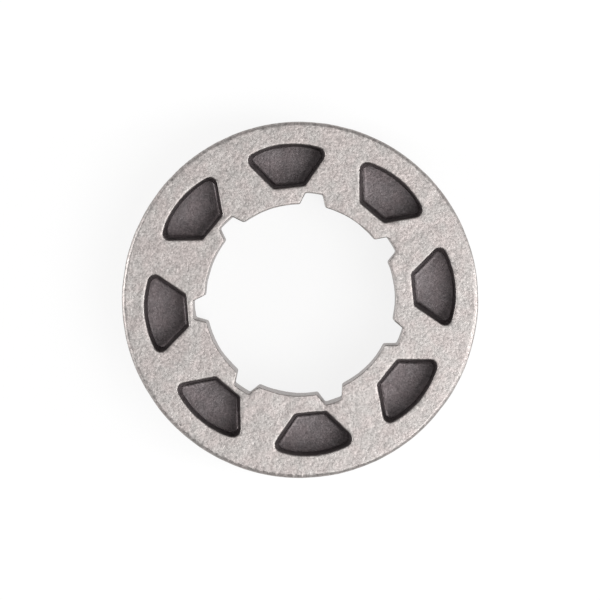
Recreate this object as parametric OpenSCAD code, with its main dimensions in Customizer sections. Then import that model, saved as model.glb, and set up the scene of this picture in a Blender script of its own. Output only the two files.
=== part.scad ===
// Rim sprocket of a chainsaw: one cast steel ring that slides on a splined hub and drives the chain.
// The origin is the centre of the bore on the closed face, and +Z runs along the bore to the open
// face. One gullet and one spline groove line up on +X, and the ring mirrors about that line.

/* [Rim] */
// Diameter over the two rails that the chain's side links ride on
rim_d = 41.4; // [40:0.1:43]
// Width from the closed face to the open face
rim_w = 12; // [10.5:0.1:14]
// Radius on the outer corner of each face
rail_edge_r = 0.5; // [0.2:0.05:0.9]

/* [Chain slot] */
// Width of the slot at the tooth tips, for the drive links of the chain
slot_w = 2.1; // [1.7:0.1:2.7]
// Height that the rails stand above the tooth tips
rail_h = 1.5; // [1.1:0.1:1.9]
// Draft of each slot wall above the tooth tips, in degrees
slot_draft = 3; // [0:0.5:6]
// Leg of the lead-in chamfer at the mouth of the slot
slot_chamfer = 0.45; // [0.2:0.05:0.7]

/* [Teeth and gullets] */
// Number of teeth, which is also the number of gullets between them
teeth = 8; // [7:1:9]
// Wall between the bottom of a spline groove and the root of a gullet
root_wall = 0.6; // [0.5:0.05:1]
// Width of the flat root of a gullet, between its two flanks
gullet_root_w = 3.72; // [3.2:0.02:4.2]
// Slope of each gullet flank away from the radial line, in degrees
flank_slope = 40; // [36:0.5:42]
// Radius in the two root corners of a gullet
root_corner_r = 0.45; // [0.2:0.05:0.8]

/* [Windows] */
// Wall of the open rail outside a window
rail_wall = 2.54; // [2.2:0.02:3]
// Radius of the crowned outer side of a window
window_crown_r = 10.5; // [9:0.1:13]
// Radius in the two outer corners of a window
window_corner_r = 0.85; // [0.5:0.05:1.2]
// Draft of the window and gullet walls towards the closed rail, in degrees
wall_draft = 3.5; // [1:0.5:5]

/* [Splined bore] */
// Diameter across the lands, which run on the hub
bore_d = 22.3; // [21.6:0.1:23]
// Number of spline grooves
grooves = 7; // [5:1:8]
// Depth of a groove below the lands
groove_depth = 1.35; // [1:0.05:1.6]
// Width of a groove at its root
groove_root_w = 2.05; // [1.6:0.05:2.6]
// Slope of each groove flank away from the radial line, in degrees
groove_slope = 20; // [10:1:30]
// Radius in the root corners and on the land corners of a groove
groove_corner_r = 0.3; // [0.1:0.05:0.4]

/* [Hidden] */

$fn = 96;

// Overrun of a cut past the face or wall that it opens
cut_over = 1;

// Straight steps along each rounded stretch of an outline
crown_steps = 6;
corner_steps = 4;

rim_r = rim_d / 2;
bore_r = bore_d / 2;
tip_r = rim_r - rail_h;
window_r = rim_r - rail_wall;
groove_r = bore_r + groove_depth;
gullet_r = groove_r + root_wall;

// The slot lies midway between the faces
slot_z0 = (rim_w - slot_w) / 2;
slot_z1 = (rim_w + slot_w) / 2;

// Lines and their normals for the upper half of an outline that is symmetric about the X axis
flank_dir = [cos(flank_slope), sin(flank_slope)];
flank_out = [-sin(flank_slope), cos(flank_slope)];
groove_dir = [-cos(groove_slope), sin(groove_slope)];
groove_out = [sin(groove_slope), cos(groove_slope)];

function heading(p) = atan2(p[1], p[0]);

// Points on an arc of radius r about c, from angle a0 to angle a1
function arc(c, r, a0, a1, steps) =
    [for (i = [0:steps]) let (a = a0 + (a1 - a0) * i / steps) c + r * [cos(a), sin(a)]];

// The outline's other half, mirrored about the X axis and in the turning order of the first
function mirrored(half) = [for (i = [len(half) - 1:-1:0]) if (abs(half[i][1]) > 1e-9) [half[i][0], -half[i][1]]];

// Distances along a line from p in direction d to where it is r away from c
function reach(p, d, c, r) =
    let (b = (p - c) * d, s = sqrt(b * b - (p - c) * (p - c) + r * r)) [-b - s, -b + s];

// Inward shift of the gullet walls at height z, from their draft
function shift(z) = (rim_w - z) * tan(wall_draft);

// Root half of a gullet: the fillet from the flank to the flat root, for walls shifted inwards
function root_half(inset) =
    let (
        on_line = [gullet_r, gullet_root_w / 2] - (root_corner_r + inset) * flank_out,
        c_x = gullet_r + inset + root_corner_r,
        c = on_line + (c_x - on_line[0]) / flank_dir[0] * flank_dir
    )
    arc(c, root_corner_r, 90 + flank_slope, 180, corner_steps);

// Outer half of a window: the crowned side and the fillet to the flank
function crown_half(inset) =
    let (
        centre = [window_r - window_crown_r, 0],
        on_line = [gullet_r, gullet_root_w / 2] - (window_corner_r + inset) * flank_out,
        t = reach(on_line, flank_dir, centre, window_crown_r - inset - window_corner_r)[1],
        c = on_line + t * flank_dir,
        a = heading(c - centre)
    )
    concat(
        [for (p = arc(centre, window_crown_r - inset, 0, a, crown_steps)) p],
        [for (i = [1:corner_steps])
            let (b = a + (90 + flank_slope - a) * i / corner_steps)
            c + window_corner_r * [cos(b), sin(b)]]
    );

// Open outer half of a gullet, whose flanks run on past the rails
function mouth_half(inset) =
    let (
        p = [gullet_r, gullet_root_w / 2] - inset * flank_out,
        t = (rim_r + cut_over - p[0]) / flank_dir[0]
    )
    [p + t * flank_dir];

function window_outline(z) =
    let (half = concat(crown_half(shift(z)), root_half(shift(z)))) concat(half, mirrored(half));

function gullet_outline(z) =
    let (half = concat(mouth_half(shift(z)), root_half(shift(z)))) concat(half, mirrored(half));

// Half of a spline groove, from the middle of its root, over the root fillet and the flank, and
// round the corner of the land into the bore
function groove_half() =
    let (
        half_w = groove_root_w / 2,
        foot = [sqrt(groove_r * groove_r - half_w * half_w), half_w],
        in_line = foot - groove_corner_r * groove_out,
        in_c = in_line + reach(in_line, groove_dir, [0, 0], groove_r - groove_corner_r)[0] * groove_dir,
        land_line = foot + groove_corner_r * groove_out,
        land_c = land_line + reach(land_line, groove_dir, [0, 0], bore_r + groove_corner_r)[0] * groove_dir,
        land_a = heading(land_c)
    )
    concat(
        arc([0, 0], groove_r, 0, heading(in_c), 2),
        [for (i = [1:corner_steps])
            let (a = heading(in_c) + (90 - groove_slope - heading(in_c)) * i / corner_steps)
            in_c + groove_corner_r * [cos(a), sin(a)]],
        arc(land_c, groove_corner_r, 270 - groove_slope, 180 + land_a, corner_steps),
        [(bore_r - cut_over) * [cos(land_a), sin(land_a)]]
    );

// Solid between a lower outline at z0 and an upper outline at z1, with as many points each
module loft(lower, upper, z0, z1) {
    n = len(lower);
    points = concat([for (p = lower) [p[0], p[1], z0]], [for (p = upper) [p[0], p[1], z1]]);
    sides = [for (i = [0:n - 1]) let (j = (i + 1) % n) [i, n + i, n + j, j]];
    polyhedron(points, concat([[for (i = [0:n - 1]) i], [for (i = [n - 1:-1:0]) n + i]], sides));
}

// The plain ring with its two rounded outer corners, before any cut
module ring_blank() {
    rotate_extrude() {
        square([rim_r - rail_edge_r, rim_w]);
        translate([0, rail_edge_r]) square([rim_r, rim_w - 2 * rail_edge_r]);
        for (z = [rail_edge_r, rim_w - rail_edge_r]) translate([rim_r - rail_edge_r, z]) circle(r = rail_edge_r);
    }
}

// The slot between the rails, which widens towards its chamfered mouth
module chain_slot() {
    lip_r = rim_r - slot_chamfer;
    lip = slot_w / 2 + (lip_r - tip_r) * tan(slot_draft);
    mouth_r = rim_r + cut_over;
    mouth = lip + mouth_r - lip_r;
    translate([0, 0, rim_w / 2])
        rotate_extrude()
            polygon([
                [tip_r, -slot_w / 2], [lip_r, -lip], [mouth_r, -mouth],
                [mouth_r, mouth], [lip_r, lip], [tip_r, slot_w / 2]
            ]);
}

// One pocket: the window through the open rail, and the gullet in the slot below it
module pocket() {
    loft(window_outline(slot_z1), window_outline(rim_w + cut_over), slot_z1, rim_w + cut_over);
    loft(gullet_outline(slot_z0), gullet_outline(slot_z1), slot_z0, slot_z1);
}

// The bore with its spline grooves, right through the ring
module splined_bore() {
    half = groove_half();
    translate([0, 0, -cut_over]) {
        cylinder(r = bore_r, h = rim_w + 2 * cut_over);
        for (i = [0:grooves - 1])
            rotate([0, 0, i * 360 / grooves])
                linear_extrude(rim_w + 2 * cut_over) polygon(concat(half, mirrored(half)));
    }
}

module rim_sprocket() {
    color([0.65, 0.635, 0.625])
        difference() {
            ring_blank();
            chain_slot();
            for (i = [0:teeth - 1]) rotate([0, 0, i * 360 / teeth]) pocket();
            splined_bore();
        }
}

rim_sprocket();
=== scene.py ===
import math

import bmesh
import bpy
from mathutils import Matrix, Vector, noise


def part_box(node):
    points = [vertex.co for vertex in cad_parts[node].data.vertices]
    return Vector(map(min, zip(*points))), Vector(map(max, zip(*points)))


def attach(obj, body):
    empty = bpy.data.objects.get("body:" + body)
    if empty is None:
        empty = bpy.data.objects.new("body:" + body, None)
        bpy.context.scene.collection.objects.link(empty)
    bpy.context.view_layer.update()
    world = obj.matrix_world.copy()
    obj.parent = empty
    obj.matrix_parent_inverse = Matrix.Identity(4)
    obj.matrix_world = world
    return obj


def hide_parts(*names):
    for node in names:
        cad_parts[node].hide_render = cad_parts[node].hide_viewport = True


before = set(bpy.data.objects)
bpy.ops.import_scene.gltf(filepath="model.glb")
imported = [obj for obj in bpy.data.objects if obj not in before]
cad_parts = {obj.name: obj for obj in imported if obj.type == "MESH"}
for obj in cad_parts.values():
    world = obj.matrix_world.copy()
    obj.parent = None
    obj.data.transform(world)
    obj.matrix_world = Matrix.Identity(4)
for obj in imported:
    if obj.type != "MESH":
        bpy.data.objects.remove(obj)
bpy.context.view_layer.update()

# The cast ring
# The whole rim sprocket is one steel casting: two rails, the chain slot between them, eight gullets
# and the splined bore. It is cast close to size, tumbled until its edges are round, and blasted to an
# even grey grain. The inside of the gullets keeps the dark skin of the mould.

MM = 0.001
low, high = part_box("rim_sprocket")
rim_r = high.x
rim_w = high.z
rail_edge_r = 0.5 * MM

# Sizes of the finish: rounded edges, fillets at the foot of the gullets, and the waves of the mould
edge_r = 0.13 * MM
foot_fillet_r = 0.3 * MM
sharp_angle = math.radians(30)
round_off = 0.02 * MM
wave_depth = 0.05 * MM
wave_length = 2.4 * MM
ripple_depth = 0.02 * MM
ripple_length = 0.8 * MM

# Seed of the waves, so that every run gives the same casting
wave_seed = 5
noise.seed_set(wave_seed)

# Spacing of the mesh that carries the waves, and shifts that keep its lines off the casting's corners
flat_cell = 0.4 * MM
cell_shift = 0.1
wall_levels = 30
wall_spokes = 90
spoke_shift = 0.2
weld = 0.004 * MM

# Limits for cleaning the mesh: specks, facets of one flat, upright faces, and folds to be relaxed
speck = 0.01 * MM
same_flat = math.radians(0.3)
upright = 0.99
fold_angle = math.radians(80)
fold_rounds = 6
fold_easing = 0.7


def bevel(bm, edges, offset, segments):
    bmesh.ops.bevel(
        bm, geom=edges, offset=offset, offset_type="OFFSET", segments=segments, profile=0.5,
        affect="EDGES", material=-1, clamp_overlap=False,
    )


def cut(bm, faces, point, normal):
    """Adds the line of vertices where a plane crosses these faces, and leaves the mesh closed."""
    edges = {edge for face in faces for edge in face.edges}
    verts = {vert for face in faces for vert in face.verts}
    bmesh.ops.bisect_plane(
        bm, geom=[*verts, *edges, *faces], dist=weld, plane_co=point, plane_no=normal
    )


def flats(bm):
    return [face for face in bm.faces if abs(face.normal.z) > upright]


def walls(bm):
    return [face for face in bm.faces if abs(face.normal.z) <= upright]


def unfold(bm):
    """Relaxes the small folds that rounding leaves where a ledge runs out to nothing."""
    for _ in range(fold_rounds):
        folded = [e for e in bm.edges if len(e.link_faces) == 2 and e.calc_face_angle() > fold_angle]
        if not folded:
            break
        verts = {vert for edge in folded for vert in edge.verts}
        bmesh.ops.smooth_vert(
            bm, verts=list(verts), factor=fold_easing, use_axis_x=True, use_axis_y=True, use_axis_z=True
        )


def true_up(bm):
    """Puts the vertices that lie just inside the turned outer surface of the rails back on it."""
    for vert in bm.verts:
        radius = vert.co.xy.length
        depth = min(vert.co.z, rim_w - vert.co.z)
        limit = rim_r
        if depth < rail_edge_r:
            limit += math.sqrt(rail_edge_r**2 - (rail_edge_r - depth) ** 2) - rail_edge_r
        if radius > 0 and 0 < limit - radius < round_off:
            vert.co.xy *= limit / radius


def waves(point, length, seed):
    """A smooth random vector at a point, about as strong as 1, that changes over that length."""
    return noise.noise_vector(point / length + Vector((seed, 0, 0)))


ring = bpy.data.objects.new("cast_ring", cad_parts["rim_sprocket"].data.copy())
bpy.context.scene.collection.objects.link(ring)
bm = bmesh.new()
bm.from_mesh(ring.data)
bmesh.ops.remove_doubles(bm, verts=bm.verts[:], dist=speck)
bmesh.ops.dissolve_degenerate(bm, dist=speck, edges=bm.edges[:])
bmesh.ops.dissolve_limit(bm, angle_limit=same_flat, verts=bm.verts[:], edges=bm.edges[:])

bevel(bm, [e for e in bm.edges if e.calc_face_angle_signed() < -sharp_angle], foot_fillet_r, 3)
bevel(bm, [e for e in bm.edges if e.calc_face_angle_signed() > sharp_angle], edge_r, 3)

for spoke in range(wall_spokes):
    turn = math.pi * (spoke + spoke_shift) / wall_spokes
    cut(bm, walls(bm), Vector((0, 0, 0)), Vector((math.cos(turn), math.sin(turn), 0)))
for axis in (Vector((1, 0, 0)), Vector((0, 1, 0))):
    steps = int(rim_r / flat_cell)
    for step in range(-steps, steps + 1):
        cut(bm, flats(bm), axis * (step + cell_shift) * flat_cell, axis)
for level in range(1, wall_levels):
    cut(bm, walls(bm), Vector((0, 0, rim_w * level / wall_levels)), Vector((0, 0, 1)))
true_up(bm)
bmesh.ops.triangulate(bm, faces=bm.faces[:], quad_method="BEAUTY", ngon_method="BEAUTY")
unfold(bm)
for vert in bm.verts:
    wave = waves(vert.co, wave_length, 3) * wave_depth
    vert.co += wave + waves(vert.co, ripple_length, 7) * ripple_depth
    radius = vert.co.xy.length
    if radius > rim_r:
        vert.co.xy *= rim_r / radius
    vert.co.z = min(max(vert.co.z, 0), rim_w)
bmesh.ops.recalc_face_normals(bm, faces=bm.faces[:])
bm.to_mesh(ring.data)
bm.free()
for polygon in ring.data.polygons:
    polygon.use_smooth = True
shading = ring.modifiers.new("even_shading", "WEIGHTED_NORMAL")
shading.mode = "FACE_AREA"
shading.weight = 60


def add_node(tree, kind, inputs=None, **settings):
    """Adds a shader node with its settings, and with a value or a link for each input."""
    made = tree.nodes.new("ShaderNode" + kind)
    for name, value in settings.items():
        setattr(made, name, value)
    for name, value in (inputs or {}).items():
        if isinstance(value, bpy.types.NodeSocket):
            tree.links.new(value, made.inputs[name])
        else:
            made.inputs[name].default_value = value
    return made


def ramp(tree, value, start, end, low_value=0.0, high_value=1.0, smooth=True):
    """Value that goes from low_value to high_value while the input goes from start to end."""
    kind = "SMOOTHSTEP" if smooth else "LINEAR"
    inputs = {"Value": value, "From Min": start, "From Max": end, "To Min": low_value, "To Max": high_value}
    return add_node(tree, "MapRange", inputs, interpolation_type=kind).outputs["Result"]


def math_node(tree, operation, first, second=0.0):
    return add_node(tree, "Math", {0: first, 1: second}, operation=operation).outputs[0]


def mix_colour(tree, factor, first, second, blend="MIX"):
    made = add_node(tree, "Mix", {"Factor": factor}, data_type="RGBA", blend_type=blend)
    for socket, value in ((made.inputs[6], first), (made.inputs[7], second)):
        if isinstance(value, bpy.types.NodeSocket):
            tree.links.new(value, socket)
        else:
            socket.default_value = value
    return made.outputs[2]


def grain(tree, point, length, detail=2.0, roughness=0.5, seed=0.0):
    """Random value around 0.5 that changes over that length."""
    shifted = add_node(tree, "VectorMath", {0: point, 1: (seed, seed, seed)}, operation="ADD").outputs[0]
    inputs = {"Vector": shifted, "Scale": 1 / length, "Detail": detail, "Roughness": roughness}
    return add_node(tree, "TexNoise", inputs).outputs["Fac"]


face_grey = (0.385, 0.362, 0.35, 1)
skin_grey = (0.17, 0.152, 0.155, 1)

# Where the dark skin fades in and out: radii, and heights above the closed face
skin_inner = (12.7 * MM, 13.1 * MM)
skin_outer = (20.6 * MM, 20.2 * MM)
skin_foot = (0.1 * MM, 0.5 * MM)
skin_top = (rim_w - 0.2 * MM, rim_w - 0.9 * MM)

# Sizes of the grain, the spread of its values, and the depth of its relief
fine_length = 0.22 * MM
coarse_length = 0.5 * MM
mottle_length = 1.5 * MM
grain_spread = (0.3, 0.7)
mottle_spread = (0.35, 0.65)
mottle_tint = (1.06, 0.98, 0.98, 1)
relief_depth = 0.08 * MM

steel = bpy.data.materials.new("blasted_cast_steel")
steel.use_nodes = True
tree = steel.node_tree
shader = tree.nodes["Principled BSDF"]
shader.inputs["Metallic"].default_value = 1
point = add_node(tree, "TexCoord").outputs["Object"]
apart = add_node(tree, "SeparateXYZ", {0: point})
flat_point = add_node(tree, "CombineXYZ", {0: apart.outputs[0], 1: apart.outputs[1]})
radius = add_node(tree, "VectorMath", {0: flat_point.outputs[0]}, operation="LENGTH").outputs["Value"]
height = apart.outputs[2]

# The gullets and the chain slot keep the dark skin, out to the rims of their edges
skin = math_node(tree, "MULTIPLY", ramp(tree, radius, *skin_inner), ramp(tree, radius, *skin_outer))
skin = math_node(tree, "MULTIPLY", skin, ramp(tree, height, *skin_foot))
skin = math_node(tree, "MULTIPLY", skin, ramp(tree, height, *skin_top))

fine = grain(tree, point, fine_length, 2, 0.6)
coarse = grain(tree, point, coarse_length, 2, 0.5, 1)
mottle = grain(tree, point, mottle_length, 1, 0.5, 2)

tone = ramp(tree, fine, *grain_spread, 0.72, 1.28, False)
tone = math_node(tree, "MULTIPLY", tone, ramp(tree, coarse, *grain_spread, 0.86, 1.14, False))
base = mix_colour(tree, skin, face_grey, skin_grey)
base = mix_colour(tree, ramp(tree, mottle, *mottle_spread, 0, 0.5, False), base, mottle_tint, "MULTIPLY")
base = mix_colour(tree, 1.0, base, tone, "MULTIPLY")
tree.links.new(base, shader.inputs["Base Color"])
tree.links.new(ramp(tree, coarse, *grain_spread, 0.42, 0.56, False), shader.inputs["Roughness"])

coarse_relief = math_node(tree, "MULTIPLY", coarse, 0.8)
relief = math_node(tree, "ADD", math_node(tree, "MULTIPLY", fine, 0.5), coarse_relief)
bump = add_node(tree, "Bump", {"Height": relief, "Strength": 0.5, "Distance": relief_depth})
tree.links.new(bump.outputs["Normal"], shader.inputs["Normal"])

ring.data.materials.clear()
ring.data.materials.append(steel)
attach(ring, "root")
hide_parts("rim_sprocket")

# The floor
# A sheet of white paper under the casting. It reads as white, and keeps a faint shadow of the ring.

bpy.ops.mesh.primitive_circle_add(vertices=96, radius=1.5, fill_type="NGON")
ground = bpy.context.object
ground.name = "floor"
paper_glow = 0.85
paper_white = (0.9, 0.9, 0.9, 1)
paper = bpy.data.materials.new("white_paper")
paper.use_nodes = True
tree = paper.node_tree
tree.nodes.clear()
path = add_node(tree, "LightPath")
seen = math_node(tree, "MAXIMUM", path.outputs["Is Camera Ray"], path.outputs["Is Glossy Ray"])
seen = math_node(tree, "MAXIMUM", seen, path.outputs["Is Transmission Ray"])
matt = add_node(tree, "BsdfDiffuse", {"Color": paper_white}).outputs[0]
glow = add_node(tree, "Emission", {"Color": (1, 1, 1, 1)}).outputs[0]
glow_share = math_node(tree, "MULTIPLY", seen, paper_glow)
surface = add_node(tree, "MixShader", {0: glow_share, 1: matt, 2: glow})
add_node(tree, "OutputMaterial", {"Surface": surface.outputs[0]})
ground.data.materials.append(paper)

# The light
# A white tent round the ring, a large softbox above it to the right, and a strip low on either side.

# The photograph shows the gullet on +X at this angle, counted from its right side over its top
photo_turn = math.radians(185.4)


def seen_from(image_angle, elevation, distance=1.0):
    """Point at that distance from the origin, in a direction given as the photograph shows it."""
    turn = math.radians(image_angle) - photo_turn
    lift = math.radians(elevation)
    flat = math.cos(lift)
    return Vector((flat * math.cos(turn), flat * math.sin(turn), math.sin(lift))) * distance


def softbox(name, image_angle, elevation, distance, size, power):
    data = bpy.data.lights.new(name, "AREA")
    data.shape = "SQUARE"
    data.size = size
    data.energy = power
    lamp = bpy.data.objects.new(name, data)
    lamp.location = seen_from(image_angle, elevation, distance)
    lamp.rotation_euler = lamp.location.to_track_quat("Z", "Y").to_euler()
    lamp.visible_camera = False
    bpy.context.scene.collection.objects.link(lamp)


softbox("overhead", -30, 66, 0.6, 0.35, 2.2)
softbox("left_strip", 175, 20, 0.6, 0.2, 2.0)
softbox("right_strip", -5, 20, 0.6, 0.2, 2.0)

# The tent lights the ring with the first strength, and shows behind it as white with the second
tent_light = 0.45
backdrop_white = 1.0
world = bpy.data.worlds.new("tent")
bpy.context.scene.world = world
world.use_nodes = True
tree = world.node_tree
path = add_node(tree, "LightPath")
tent = tree.nodes["Background"]
tent.inputs["Color"].default_value = (1, 1, 1, 1)
strength = ramp(tree, path.outputs["Is Camera Ray"], 0, 1, tent_light, backdrop_white)
tree.links.new(strength, tent.inputs["Strength"])

# The camera
# It looks straight down on the open face, from far enough away to show hardly any of the bore's wall.

frame_width = 69.64 * MM
camera_distance = 630 * MM
camera_lean = 0.9
lean_heading = 70

camera_data = bpy.data.cameras.new("camera")
camera_data.sensor_width = 36
camera_data.lens = camera_data.sensor_width * camera_distance / frame_width
camera_data.clip_start = 0.05
camera_data.clip_end = 20
camera = bpy.data.objects.new("camera", camera_data)
bpy.context.scene.collection.objects.link(camera)
bpy.context.scene.camera = camera
aim = Vector((0, 0, rim_w))
back = seen_from(lean_heading, 90 - camera_lean)
right = seen_from(90, 0).cross(back).normalized()
camera.matrix_world = Matrix.Translation(aim + back * camera_distance) @ Matrix(
    (right, back.cross(right), back)
).transposed().to_4x4()

bpy.context.scene.view_settings.view_transform = "Standard"
